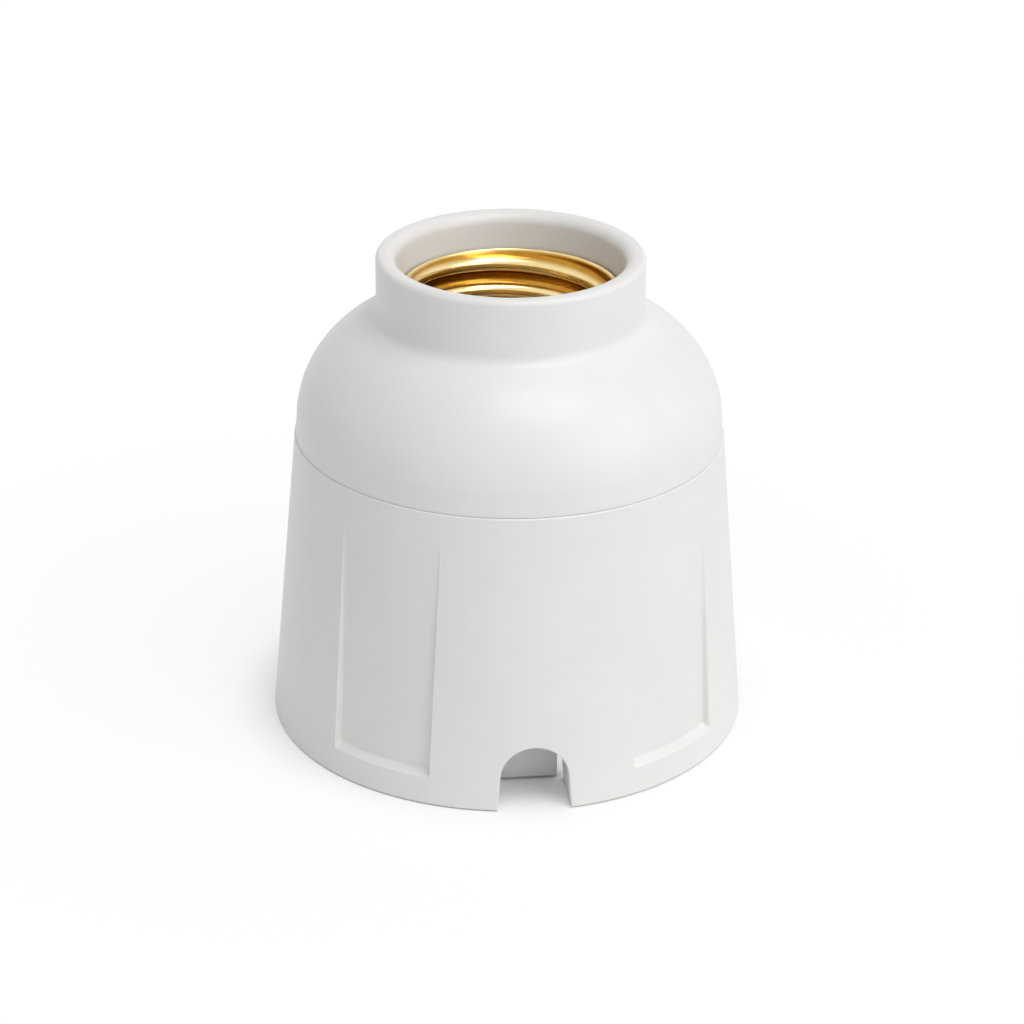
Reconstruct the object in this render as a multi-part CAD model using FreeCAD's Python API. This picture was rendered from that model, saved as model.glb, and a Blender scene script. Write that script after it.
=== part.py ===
import FreeCAD, Part
import math
import os

# A surface-mounted lamp holder for E27 lamps: a tapered base, a domed cover that screws on to it,
# a brass screw shell in the cover's neck, and a ceramic contact carrier inside.
# Millimetres. The lamp axis is +Z, the origin is the middle of the foot, the cable comes in from -Y,
# and the two holes for the fixing screws lie on the X axis.

# Outside of the base
FOOT_R = 31.0
SEAM_R = 27.6
SEAM_Z = 38.8
FOOT_ROUND = 0.3
SEAM_CHAMFER = 0.12
SKIN = 2.2

# Outside of the cover
COVER_FOOT_R = 27.45
DOME_R = 14.85
DOME_CENTRE = (12.5, 40.34)
SHOULDER_SLOPE = 29.3
DOME_LEAN = 7.0
NECK_R = 17.03
RIM_Z = 62.8
RIM_ROUND = 0.7
NECK_FILLET = 1.4

# Mouth of the cover
MOUTH_R = 15.8
BORE_TOP_R = 14.4
BORE_TOP_Z = 61.5

# E27 thread of the lamp
THREAD_CREST_R = 12.2
THREAD_ROOT_R = 13.3
THREAD_PITCH = 3.629
THREAD_CREST_WIDTH = 0.9
SHELL_SHEET = 0.35
SHELL_TOP_Z = 58.35
THREAD_START_Z = 40.13
THREAD_TURNS = 5.45
MOUTH_FLARE_Z = 57.1
MOUTH_LIP_Z = 58.1
LIP_R = 13.8
TAB_PLAY = 0.1
FLANGE_R = 15.9
FLANGE_Z = 37.65
TAB_WIDTH = 6.0
TAB_END_Z = 30.5

# Sleeve of the cover round the shell, and the three hooks that hold the shell's flange
SLEEVE_PLAY = 0.25
SLEEVE_WALL = 1.85
HOOK_COUNT = 3
HOOK_SPAN = 20.0
HOOK_WALL = 1.2
HOOK_REACH = 0.5
HOOK_THICK = 0.75
FLANGE_PLAY = 0.05

# Threaded collar of the base inside the cover
COLLAR_R = 24.3
COLLAR_WALL = 2.0
COLLAR_TOP_Z = 45.0
COLLAR_ROOT_Z = 36.0
COLLAR_PLAY = 0.3

# Grip recesses in the skirt
RECESS_ANGLES = (38.6, -38.6, 141.4, -141.4)
RECESS_WIDTH = 14.0
RECESS_DEPTH = 1.1
RECESS_LEDGE_Z = 3.65
RECESS_FLOOR_Z = 4.3
RECESS_FADE_Z = 35.0
RECESS_CORNER = 0.3
RECESS_ROUND = 0.4
RECESS_OVER = 0.03

# Cable notch and the chute behind it
NOTCH_R = 4.3
NOTCH_SPRING_Z = 4.2
NOTCH_FOOT_HALF = 4.65
NOTCH_EDGE = 0.2
CHUTE_HALF = 4.45
CHUTE_DEPTH_Y = 22.85
CHUTE_RIB = 1.8
CHUTE_BACK_HALF = 3.8
CHUTE_BACK_THICK = 1.8
CHUTE_BACK_FOOT = 0.3

# Floor of the base, the fixing holes and the posts of the carrier
FLOOR_Z = 10.5
FLOOR_THICK = 2.5
FIXING_X = 17.5
FIXING_HOLE_R = 2.2
FIXING_BOSS_R = 4.5
RIB_THICK = 1.6
POST_X = 8.5
POST_R = 3.4

# Ceramic contact carrier
CARRIER_HALF_X = 13.0
CARRIER_R = 21.8
CARRIER_Z = 20.0
SEAT_Z = 28.0
ISLAND_HALF_Y = 10.3
ISLAND_Z = 34.0
CARRIER_EDGE = 0.6

# Contact strips
STRIP_THICK = 0.5
STRIP_WIDTH = 7.0
STRIP_TONGUE_WIDTH = 5.0
BUTTON_Z = 35.7
BUTTON_R = 2.6
BUTTON_HEIGHT = 1.3
SIDE_TIP_R = 14.3

# Terminals
TERMINAL_Y = 17.0
TERMINAL_SCREW_R = 1.75
TERMINAL_HEAD_R = 3.1
TERMINAL_HEAD_HEIGHT = 2.4
TERMINAL_LENGTH = 11.8
WASHER_SIDE = 7.0
WASHER_THICK = 0.8
NUT_FLATS = 6.0
NUT_THICK = 2.4
THREAD_FIT = 0.05
HOLE_PLAY = 0.25

# Screws of the carrier and the rivets of the strips
CARRIER_SCREW_R = 1.5
CARRIER_HEAD_R = 2.75
CARRIER_HEAD_HEIGHT = 1.8
CARRIER_SCREW_LENGTH = 15.0
COUNTERBORE_DEPTH = 8.0
COUNTERBORE_R = 3.2
RIVET_R = 0.9
RIVET_HEAD_R = 1.3
RIVET_HEAD_HEIGHT = 0.5
RIVET_GRIP = 4.0
RIVET_POCKET_R = 2.2
CENTRE_RIVET_Y = -7.8
SIDE_RIVET_Y = 12.2

Z = FreeCAD.Vector(0, 0, 1)
FLOOR_TOP_Z = FLOOR_Z + FLOOR_THICK
SLEEVE_BORE_R = LIP_R + SLEEVE_PLAY
SLEEVE_R = SLEEVE_BORE_R + SLEEVE_WALL
SLEEVE_FOOT_Z = FLANGE_Z + SHELL_SHEET + FLANGE_PLAY
STRIP_TOP_Z = SEAT_Z + STRIP_THICK
NUT_TOP_Z = CARRIER_Z + NUT_THICK + 0.6


def at(x, y, z):
    return FreeCAD.Vector(x, y, z)


def ring_point(r, z):
    return at(r, 0, z)


def cylinder(radius, low, high, x=0.0, y=0.0):
    """A round bar along Z between two heights."""
    return Part.makeCylinder(radius, high - low, at(x, y, low), Z)


def block(x0, x1, y0, y1, z0, z1):
    """A block between two corners."""
    return Part.makeBox(x1 - x0, y1 - y0, z1 - z0, at(x0, y0, z0))


def polygon_face(points):
    """A flat face inside a closed row of points."""
    return Part.Face(Part.makePolygon(points + points[:1]))


def turned(outline, degrees=360.0):
    """Turn a closed row of (radius, height) pairs about the lamp axis."""
    face = polygon_face([ring_point(r, z) for r, z in outline])
    return face.revolve(at(0, 0, 0), Z, degrees)


def rotated(shape, degrees):
    """A copy turned about the lamp axis."""
    copy = shape.copy()
    copy.rotate(at(0, 0, 0), Z, degrees)
    return copy


def skirt_r(z):
    """Outer radius of the base at a height."""
    return FOOT_R + (SEAM_R - FOOT_R) * z / SEAM_Z


def line(a, b):
    return Part.LineSegment(ring_point(*a), ring_point(*b)).toShape()


def arc(a, middle, b):
    return Part.Arc(ring_point(*a), ring_point(*middle), ring_point(*b)).toShape()


def circle_point(centre, radius, degrees):
    """The point of a circle at an angle up from the outward direction."""
    turn = math.radians(degrees)
    return (centre[0] + radius * math.cos(turn), centre[1] + radius * math.sin(turn))


# --- base -------------------------------------------------------------------------------------


def skirt_and_collar():
    """The tapered skirt with its shoulder and the collar that the cover screws on to."""
    collar_in = COLLAR_R - COLLAR_WALL
    outline = [
        (FOOT_R - FOOT_ROUND, 0.0),
        (FOOT_R - 0.3 * FOOT_ROUND, 0.3 * FOOT_ROUND),
        (skirt_r(FOOT_ROUND), FOOT_ROUND),
        (skirt_r(SEAM_Z - SEAM_CHAMFER), SEAM_Z - SEAM_CHAMFER),
        (SEAM_R - SEAM_CHAMFER, SEAM_Z),
        (COLLAR_R, SEAM_Z),
        (COLLAR_R, COLLAR_TOP_Z - 0.5),
        (COLLAR_R - 0.5, COLLAR_TOP_Z),
        (collar_in, COLLAR_TOP_Z),
        (collar_in, COLLAR_ROOT_Z),
        (skirt_r(COLLAR_ROOT_Z - 4.0) - SKIN, COLLAR_ROOT_Z - 4.0),
        (FOOT_R - SKIN, 0.0),
    ]
    return turned(outline)


def bent_wire(corners):
    """A closed wire through (point, radius) corners, each rounded by an arc tangent to its sides."""
    count = len(corners)
    starts, edges = [], []
    for i, (corner, radius) in enumerate(corners):
        before = (corners[i - 1][0] - corner).normalize()
        after = (corners[(i + 1) % count][0] - corner).normalize()
        if radius == 0:
            starts.append((corner, corner, None))
            continue
        half = before.getAngle(after) / 2
        back = radius / math.tan(half)
        middle = (before + after).normalize() * (radius / math.sin(half) - radius)
        starts.append((corner + before * back, corner + after * back, corner + middle))
    for i, (near, far, middle) in enumerate(starts):
        if middle is not None:
            edges.append(Part.Arc(near, middle, far).toShape())
        edges.append(Part.LineSegment(far, starts[(i + 1) % count][0]).toShape())
    return Part.Wire(edges)


def recess_floor():
    """The turned room outside the recess's floor, with its ledge at the foot rounded both ways."""
    floor_low = skirt_r(RECESS_FLOOR_Z) - RECESS_DEPTH
    slope = (skirt_r(RECESS_FADE_Z) - floor_low) / (RECESS_FADE_Z - RECESS_FLOOR_Z)
    top = SEAM_Z - 0.8
    ledge = skirt_r(RECESS_LEDGE_Z) + RECESS_OVER
    below = RECESS_LEDGE_Z - 1.6
    corners = [
        (ring_point(floor_low, RECESS_FLOOR_Z), RECESS_CORNER),
        (ring_point(ledge, RECESS_LEDGE_Z), RECESS_ROUND),
        (ring_point(skirt_r(below) + RECESS_OVER, below), 0),
        (ring_point(FOOT_R + 2.0, below), 0),
        (ring_point(FOOT_R + 2.0, top), 0),
        (ring_point(floor_low + slope * (top - RECESS_FLOOR_Z), top), 0),
    ]
    face = Part.Face(bent_wire(corners))
    return rotated(face.revolve(at(0, 0, 0), Z, 60.0), -30.0)


def recess_slab():
    """The width of a recess, flared at its lips, sloping in with the skirt."""
    half, flare = RECESS_WIDTH / 2, RECESS_ROUND
    lip_x = math.sqrt(FOOT_R**2 - half**2)
    turn = flare * math.sin(math.radians(45.0))
    edges = []
    for side in (-1, 1):
        wall = at(lip_x - flare, side * half, 0)
        lip = at(lip_x, side * (half + flare), 0)
        middle = at(lip_x - flare + turn, side * (half + flare - turn), 0)
        edges.append(Part.LineSegment(at(20.0, side * half, 0), wall).toShape())
        edges.append(Part.Arc(wall, middle, lip).toShape())
        edges.append(Part.LineSegment(lip, at(40.0, side * (half + flare), 0)).toShape())
    edges.append(Part.LineSegment(at(20.0, -half, 0), at(20.0, half, 0)).toShape())
    far = half + flare
    edges.append(Part.LineSegment(at(40.0, -far, 0), at(40.0, far, 0)).toShape())
    section = Part.Face(Part.Wire(Part.__sortEdges__(edges)))
    return section.extrude(at(SEAM_R - FOOT_R, 0, SEAM_Z))


def recess_cutter(angle):
    """What is taken from the skirt for one grip recess, deepest at its foot and fading out above."""
    cutter = recess_floor().common(recess_slab())
    half = RECESS_WIDTH / 2
    sides = [e for e in cutter.Edges if is_floor_side_edge(e, half)]
    return rotated(cutter.makeFillet(RECESS_CORNER, sides), angle - 90.0)


def is_floor_side_edge(edge, half):
    """Whether an edge of the recess cutter runs up the side of the recess floor."""
    ends = [v.Point for v in edge.Vertexes]
    if len(ends) < 2:
        return False
    on_side = all(abs(abs(p.y) - half) < 0.01 for p in ends)
    tall = abs(ends[0].z - ends[1].z) > 10.0
    deep = all(p.x < FOOT_R - 0.9 for p in ends)
    return on_side and tall and deep


def notch_cutter():
    """The arched opening for the cable, cut through the skirt."""
    near, far = -FOOT_R - 2.0, -CHUTE_DEPTH_Y
    flare = (NOTCH_FOOT_HALF - NOTCH_R) / NOTCH_SPRING_Z
    low_half = NOTCH_FOOT_HALF + flare
    left = at(-NOTCH_R, near, NOTCH_SPRING_Z)
    right = at(NOTCH_R, near, NOTCH_SPRING_Z)
    edges = [
        Part.Arc(left, at(0, near, NOTCH_SPRING_Z + NOTCH_R), right).toShape(),
        Part.makePolygon([right, at(low_half, near, -1.0), at(-low_half, near, -1.0), left]),
    ]
    return Part.Face(Part.Wire(edges)).extrude(at(0, far - near, 0))


def chute():
    """The two ribs beside the cable's way in and the short wall that turns it upwards."""
    ribs = []
    for side in (-1, 1):
        low, high = sorted((side * CHUTE_HALF, side * (CHUTE_HALF + CHUTE_RIB)))
        ribs.append(block(low, high, -FOOT_R, -CHUTE_DEPTH_Y, 0.0, FLOOR_TOP_Z))
    far = -CHUTE_DEPTH_Y + CHUTE_BACK_THICK
    half = CHUTE_BACK_HALF
    back = block(-half, half, -CHUTE_DEPTH_Y, far, CHUTE_BACK_FOOT, FLOOR_TOP_Z)
    return ribs[0].multiFuse([ribs[1], back])


def fixing_boss(side):
    """The tube round one fixing hole, with a rib to the skirt."""
    x = side * FIXING_X
    boss = cylinder(FIXING_BOSS_R, 0.0, FLOOR_Z + 0.5, x)
    low, high = sorted((x + side * 3.5, side * FOOT_R))
    rib = block(low, high, -RIB_THICK / 2, RIB_THICK / 2, 0.8, FLOOR_Z + 0.5)
    return boss.fuse(rib)


def base_inside():
    """The room within the skirt, a little oversize so that what is joined to the skirt meets it."""
    lap = 0.8
    foot = FOOT_R - SKIN + lap
    top = skirt_r(COLLAR_ROOT_Z - 4.0) - SKIN + lap
    return turned([(0, 0), (foot, 0), (top, COLLAR_ROOT_Z - 4.0), (0, COLLAR_ROOT_Z - 4.0)])


def base():
    """The moulded base, in one piece."""
    floor = cylinder(FOOT_R, FLOOR_Z, FLOOR_TOP_Z)
    posts = [cylinder(POST_R, FLOOR_Z, CARRIER_Z, s * POST_X) for s in (-1, 1)]
    bosses = [fixing_boss(s) for s in (-1, 1)]
    opening = block(
        -CHUTE_HALF, CHUTE_HALF, -FOOT_R, -CHUTE_DEPTH_Y, FLOOR_Z - 1.0, FLOOR_TOP_Z + 1.0
    )
    within = floor.multiFuse(posts + bosses + [chute()]).cut(opening).common(base_inside())
    body = skirt_and_collar().fuse(within)
    holes = [cylinder(FIXING_HOLE_R, -1.0, FLOOR_TOP_Z + 1.0, s * FIXING_X) for s in (-1, 1)]
    pilot_r = CARRIER_SCREW_R + THREAD_FIT
    pilots = [cylinder(pilot_r, FLOOR_Z - 1.0, CARRIER_Z + 1.0, s * POST_X) for s in (-1, 1)]
    recesses = [recess_cutter(a) for a in RECESS_ANGLES]
    body = body.cut(holes + pilots + recesses + [notch_cutter()])
    return body.makeFillet(NOTCH_EDGE, [e for e in body.Edges if is_notch_edge(e)])


def is_notch_edge(edge):
    """Whether an edge is part of the notch's outline on the outside of the skirt."""
    middle = edge.valueAt((edge.FirstParameter + edge.LastParameter) / 2)
    spread = math.hypot(middle.x, middle.y)
    on_skirt = abs(spread - skirt_r(middle.z)) < 0.01
    by_notch = abs(middle.x) < NOTCH_FOOT_HALF + 0.1 and middle.y < 0
    return on_skirt and by_notch and 0.6 < middle.z < NOTCH_SPRING_Z + NOTCH_R + 0.1


# --- cover ------------------------------------------------------------------------------------


def dome_points(radius):
    """Where the dome's arc begins, its middle and its end, at the outer or inner radius."""
    low = circle_point(DOME_CENTRE, radius, DOME_LEAN)
    high = circle_point(DOME_CENTRE, radius, 90.0 - SHOULDER_SLOPE)
    middle = circle_point(DOME_CENTRE, radius, (DOME_LEAN + 90.0 - SHOULDER_SLOPE) / 2)
    return low, middle, high


def down_shoulder(start, to_r):
    """The point of the sloping shoulder at a radius."""
    return (to_r, start[1] + (start[0] - to_r) * math.tan(math.radians(SHOULDER_SLOPE)))


def cover_profile():
    """The closed outline of the cover: dome, neck, mouth, sleeve and the bore round the collar."""
    low, middle, high = dome_points(DOME_R)
    shoulder = down_shoulder(high, NECK_R)
    inner_low, inner_middle, inner_high = dome_points(DOME_R - SKIN)
    under = down_shoulder(inner_high, SLEEVE_R)
    bore_r = COLLAR_R + COLLAR_PLAY
    ledge_z = COLLAR_TOP_Z + 0.4
    reach = math.sqrt((DOME_R - SKIN) ** 2 - (ledge_z - DOME_CENTRE[1]) ** 2)
    ledge = (DOME_CENTRE[0] + reach, ledge_z)
    lip_corner = (NECK_R - RIM_ROUND, RIM_Z - RIM_ROUND)
    rim_middle = circle_point(lip_corner, RIM_ROUND, 45.0)
    foot_out = (COVER_FOOT_R, SEAM_Z + SEAM_CHAMFER)
    shell_z = SHELL_TOP_Z + 0.3
    mouth_middle = ((MOUTH_R + BORE_TOP_R) / 2 - 0.25, (RIM_Z + BORE_TOP_Z) / 2 + 0.25)
    ledge_angle = math.degrees(math.asin((ledge_z - DOME_CENTRE[1]) / (DOME_R - SKIN)))
    inner_turn = (ledge_angle + 90.0 - SHOULDER_SLOPE) / 2
    return [
        line((bore_r, SEAM_Z), (COVER_FOOT_R - SEAM_CHAMFER, SEAM_Z)),
        line((COVER_FOOT_R - SEAM_CHAMFER, SEAM_Z), foot_out),
        line(foot_out, low),
        arc(low, middle, high),
        line(high, shoulder),
        line(shoulder, (NECK_R, lip_corner[1])),
        arc((NECK_R, lip_corner[1]), rim_middle, (lip_corner[0], RIM_Z)),
        line((lip_corner[0], RIM_Z), (MOUTH_R, RIM_Z)),
        arc((MOUTH_R, RIM_Z), mouth_middle, (BORE_TOP_R, BORE_TOP_Z)),
        line((BORE_TOP_R, BORE_TOP_Z), (SLEEVE_BORE_R, shell_z)),
        line((SLEEVE_BORE_R, shell_z), (SLEEVE_BORE_R, SLEEVE_FOOT_Z)),
        line((SLEEVE_BORE_R, SLEEVE_FOOT_Z), (SLEEVE_R, SLEEVE_FOOT_Z)),
        line((SLEEVE_R, SLEEVE_FOOT_Z), under),
        line(under, inner_high),
        arc(inner_high, circle_point(DOME_CENTRE, DOME_R - SKIN, inner_turn), ledge),
        line(ledge, (bore_r, ledge_z)),
        line((bore_r, ledge_z), (bore_r, SEAM_Z)),
    ]


def flange_hook():
    """One hook under the sleeve, which the shell's flange rests on."""
    inside = FLANGE_R + 0.2
    outside = inside + HOOK_WALL
    tip = FLANGE_R - HOOK_REACH
    foot = FLANGE_Z - HOOK_THICK
    outline = [
        (tip, foot),
        (outside, foot),
        (outside, SLEEVE_FOOT_Z + 2.5),
        (SLEEVE_R - 0.4, SLEEVE_FOOT_Z + 4.0),
        (SLEEVE_R - 0.4, SLEEVE_FOOT_Z),
        (inside, SLEEVE_FOOT_Z),
        (inside, FLANGE_Z),
        (tip, FLANGE_Z),
    ]
    return turned(outline, HOOK_SPAN)


def cover():
    body = Part.Face(Part.Wire(cover_profile())).revolve(at(0, 0, 0), Z, 360.0)
    neck_root = [e for e in body.Edges if is_neck_root(e)]
    body = body.makeFillet(NECK_FILLET, neck_root)
    hooks = [rotated(flange_hook(), i * 360.0 / HOOK_COUNT + 20.0) for i in range(HOOK_COUNT)]
    return body.multiFuse(hooks)


def is_neck_root(edge):
    """Whether an edge is the circle where the dome meets the neck."""
    high = dome_points(DOME_R)[2]
    root_z = down_shoulder(high, NECK_R)[1]
    box = edge.BoundBox
    return abs(box.ZMax - root_z) < 0.01 and box.ZLength < 0.01 and abs(box.XMax - NECK_R) < 0.01


# --- screw shell ------------------------------------------------------------------------------


def thread_ridge(root_r, top_r, low, turns, foot_half, top_half):
    """A helical rib of the E27 pitch, from inside root_r out to top_r."""
    helix = Part.makeHelix(THREAD_PITCH, THREAD_PITCH * turns, root_r)
    inside = root_r - 0.6
    side = foot_half + 0.6 * (foot_half - top_half) / (top_r - root_r)
    outline = [
        at(inside, 0, -side),
        at(top_r, 0, -top_half),
        at(top_r, 0, top_half),
        at(inside, 0, side),
    ]
    wire = Part.makePolygon(outline + outline[:1])
    sweep = Part.BRepOffsetAPI.MakePipeShell(helix)
    sweep.setFrenetMode(True)
    sweep.add(wire)
    sweep.build()
    sweep.makeSolid()
    rib = sweep.shape()
    rib.translate(at(0, 0, low))
    return rib


def mouth_flare(grow):
    """The flare of the shell's mouth, from the crests of the thread out to the lip."""
    out = grow + 0.001
    return turned(
        [
            (0, MOUTH_FLARE_Z - 1.2 * grow),
            (THREAD_CREST_R + out, MOUTH_FLARE_Z - 1.2 * grow),
            (LIP_R - SHELL_SHEET + grow, MOUTH_LIP_Z - 1.2 * grow),
            (LIP_R - SHELL_SHEET + grow, SHELL_TOP_Z + 1.0 - grow / SHELL_SHEET),
            (0, SHELL_TOP_Z + 1.0 - grow / SHELL_SHEET),
        ]
    )


def split_in_quarters(shape):
    """The same solid with its turned faces divided in four round the axis."""
    quarters = []
    for i in range(4):
        wedge = Part.makeCylinder(FOOT_R, SHELL_TOP_Z + 2.0, at(0, 0, 0), Z, 90.0)
        quarters.append(shape.common(rotated(wedge, 90.0 * i)))
    return quarters[0].multiFuse(quarters[1:])


def shell_void():
    """The room that the lamp's cap takes up: a bore with the helical groove of the thread."""
    foot_half = (THREAD_PITCH - THREAD_CREST_WIDTH) / 2
    groove = thread_ridge(
        THREAD_CREST_R, THREAD_ROOT_R, THREAD_START_Z, THREAD_TURNS, foot_half, 0.62
    )
    bore = cylinder(THREAD_CREST_R, FLANGE_Z - 1.0, MOUTH_LIP_Z)
    return split_in_quarters(bore.multiFuse([groove, mouth_flare(0.0)]))


def shell_plug():
    """The outer form of the shell, as if it were solid."""
    crest_r = THREAD_CREST_R + SHELL_SHEET
    root_r = THREAD_ROOT_R + SHELL_SHEET
    foot_half = (THREAD_PITCH - THREAD_CREST_WIDTH) / 2 + 0.12
    rib = thread_ridge(crest_r, root_r, THREAD_START_Z, THREAD_TURNS, foot_half, 0.75)
    above = cylinder(20.0, SHELL_TOP_Z, SHELL_TOP_Z + 10.0)
    body = cylinder(crest_r, FLANGE_Z, SHELL_TOP_Z)
    flange = cylinder(FLANGE_R, FLANGE_Z, FLANGE_Z + SHELL_SHEET)
    return body.multiFuse([rib, mouth_flare(SHELL_SHEET), flange]).cut(above)


def drive_tab(side):
    """One tab bent down from the flange, which keeps the shell from turning on the carrier."""
    near = CARRIER_HALF_X + TAB_PLAY
    low, high = sorted((side * near, side * (near + SHELL_SHEET)))
    half = TAB_WIDTH / 2
    return block(low, high, -half, half, TAB_END_Z, FLANGE_Z + SHELL_SHEET)


def screw_shell():
    """The drawn brass shell with its thread, flange and drive tabs."""
    tabs = [drive_tab(s) for s in (-1, 1)]
    return shell_plug().cut(shell_void()).multiFuse(tabs)


# --- ceramic contact carrier ------------------------------------------------------------------


def contact_carrier():
    """The pressed ceramic block: a raised island between two lower terminal seats."""
    half_x, reach = CARRIER_HALF_X, CARRIER_R
    body = block(-half_x, half_x, -reach, reach, CARRIER_Z, SEAT_Z)
    body = body.common(cylinder(CARRIER_R, CARRIER_Z, SEAT_Z))
    island = block(-half_x, half_x, -ISLAND_HALF_Y, ISLAND_HALF_Y, CARRIER_Z, ISLAND_Z)
    body = body.fuse(island).removeSplitter()
    corners = [e for e in body.Edges if is_upright(e) and abs(e.BoundBox.ZMax - SEAT_Z) < 0.01]
    body = body.makeChamfer(CARRIER_EDGE, corners)
    return body.cut(carrier_holes())


def is_upright(edge):
    box = edge.BoundBox
    return box.ZLength > 2.0 and box.XLength < 0.01 and box.YLength < 0.01


def carrier_holes():
    """Screw holes, counterbores, nut pockets and rivet holes of the carrier."""
    holes = []
    for side in (-1, 1):
        x = side * POST_X
        y = side * TERMINAL_Y
        holes.append(cylinder(CARRIER_SCREW_R + HOLE_PLAY, CARRIER_Z - 1, ISLAND_Z + 1, x))
        holes.append(cylinder(COUNTERBORE_R, ISLAND_Z - COUNTERBORE_DEPTH, ISLAND_Z + 1, x))
        holes.append(cylinder(TERMINAL_SCREW_R + HOLE_PLAY, CARRIER_Z - 1, SEAT_Z + 1, 0, y))
        holes.append(hexagon(NUT_FLATS + 0.2, CARRIER_Z - 1.0, NUT_TOP_Z, y))
    for y, top in ((CENTRE_RIVET_Y, ISLAND_Z), (SIDE_RIVET_Y, SEAT_Z)):
        holes.append(cylinder(RIVET_R + 0.1, CARRIER_Z - 1.0, top + 1.0, 0, y))
        holes.append(cylinder(RIVET_POCKET_R, CARRIER_Z - 1.0, top - RIVET_GRIP, 0, y))
    return holes


def hexagon(flats, low, high, y):
    """A six-sided bar along Z, with two flats facing along X."""
    corner = flats / 2 / math.cos(math.pi / 6)
    points = []
    for i in range(6):
        turn = math.radians(60 * i + 30)
        points.append(at(corner * math.cos(turn), y + corner * math.sin(turn), low))
    return polygon_face(points).extrude(at(0, 0, high - low))


# --- contacts ---------------------------------------------------------------------------------


def strip(path, width):
    """A bent strip: a path of (y, z) points along its lower face, given the strip's thickness."""
    return polygon_face([at(-width / 2, y, z) for y, z in path]).extrude(at(width, 0, 0))


def centre_contact():
    """The sprung strip from the live terminal up over the island to the middle of the lamp axis."""
    t = STRIP_THICK
    riser = -ISLAND_HALF_Y - t
    lower = [(-20.2, SEAT_Z), (-ISLAND_HALF_Y, SEAT_Z), (-ISLAND_HALF_Y, ISLAND_Z), (-6.0, ISLAND_Z)]
    upper = [(-6.0 - 0.1, ISLAND_Z + t), (riser, ISLAND_Z + t), (riser, SEAT_Z + t)]
    fixed = strip(lower + upper + [(-20.2, SEAT_Z + t)], STRIP_WIDTH)
    under = [(-6.4, ISLAND_Z), (-6.0, ISLAND_Z), (-2.4, BUTTON_Z - t), (2.6, BUTTON_Z - t)]
    above = [(2.6, BUTTON_Z), (-2.5, BUTTON_Z), (-6.1, ISLAND_Z + t), (-6.4, ISLAND_Z + t)]
    tongue = strip(under + above, STRIP_TONGUE_WIDTH)
    hole = cylinder(TERMINAL_SCREW_R + HOLE_PLAY, SEAT_Z - 1, SEAT_Z + 2, 0, -TERMINAL_Y)
    rivet = cylinder(RIVET_R + 0.1, ISLAND_Z - 1, ISLAND_Z + 2, 0, CENTRE_RIVET_Y)
    return fixed.fuse(tongue).cut([hole, rivet]).removeSplitter()


def centre_button():
    """The domed button on the end of the centre contact, which the lamp's tip presses down."""
    edge = 0.45
    rise = BUTTON_HEIGHT - edge
    sphere_r = (BUTTON_R**2 + rise**2) / (2 * rise)
    crown = at(0, 0, BUTTON_Z + BUTTON_HEIGHT)
    shoulder = ring_point(BUTTON_R, BUTTON_Z + edge)
    centre_z = BUTTON_Z + BUTTON_HEIGHT - sphere_r
    half_r = BUTTON_R / 2
    middle = ring_point(half_r, centre_z + math.sqrt(sphere_r**2 - half_r**2))
    edges = [
        Part.makePolygon([crown, at(0, 0, BUTTON_Z), ring_point(BUTTON_R, BUTTON_Z), shoulder]),
        Part.Arc(shoulder, middle, crown).toShape(),
    ]
    return Part.Face(Part.Wire(edges)).revolve(at(0, 0, 0), Z, 360.0)


def side_contact():
    """The strip from the neutral terminal, with a hooked end that presses on the shell's flange."""
    t = STRIP_THICK
    foot_y, riser = 20.2, ISLAND_HALF_Y + t
    tip_z = FLANGE_Z
    fixed = strip(
        [
            (foot_y, SEAT_Z),
            (ISLAND_HALF_Y, SEAT_Z),
            (ISLAND_HALF_Y, SEAT_Z + 1.5),
            (riser, SEAT_Z + 1.5),
            (riser, SEAT_Z + t),
            (foot_y, SEAT_Z + t),
        ],
        STRIP_WIDTH,
    )
    spring = strip(
        [
            (ISLAND_HALF_Y, SEAT_Z + 1.0),
            (ISLAND_HALF_Y, ISLAND_Z - 0.5),
            (SIDE_TIP_R - 0.9, tip_z - 0.35),
            (SIDE_TIP_R - 0.4, tip_z),
            (SIDE_TIP_R + 0.2, tip_z),
            (SIDE_TIP_R + 0.5, tip_z - 0.7),
            (SIDE_TIP_R - 0.1, tip_z - 0.85),
            (riser, ISLAND_Z - 0.7),
            (riser, SEAT_Z + 1.0),
        ],
        STRIP_TONGUE_WIDTH - 1.0,
    )
    hole = cylinder(TERMINAL_SCREW_R + HOLE_PLAY, SEAT_Z - 1, SEAT_Z + 2, 0, TERMINAL_Y)
    rivet = cylinder(RIVET_R + 0.1, SEAT_Z - 1, SEAT_Z + 2, 0, SIDE_RIVET_Y)
    return fixed.fuse(spring).cut([hole, rivet]).removeSplitter()


# --- terminals, screws and rivets -------------------------------------------------------------


def slotted_screw(shank_r, length, head_r, head_height, seat_z, x, y, slot_degrees):
    """A cheese-head screw with a straight slot, its head resting at seat_z."""
    shank = cylinder(shank_r, seat_z - length, seat_z + 0.1, x, y)
    head = cylinder(head_r, seat_z, seat_z + head_height, x, y)
    rim = [e for e in head.Edges if e.BoundBox.ZMin > seat_z + head_height - 0.01]
    head = head.makeChamfer(0.3, rim)
    half = head_r + 1.0
    slot = block(-half, half, -0.45, 0.45, 0.0, 1.5)
    slot.rotate(at(0, 0, 0), Z, slot_degrees)
    slot.translate(at(x, y, seat_z + head_height - 1.1))
    return head.fuse(shank).cut(slot).removeSplitter()


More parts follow.
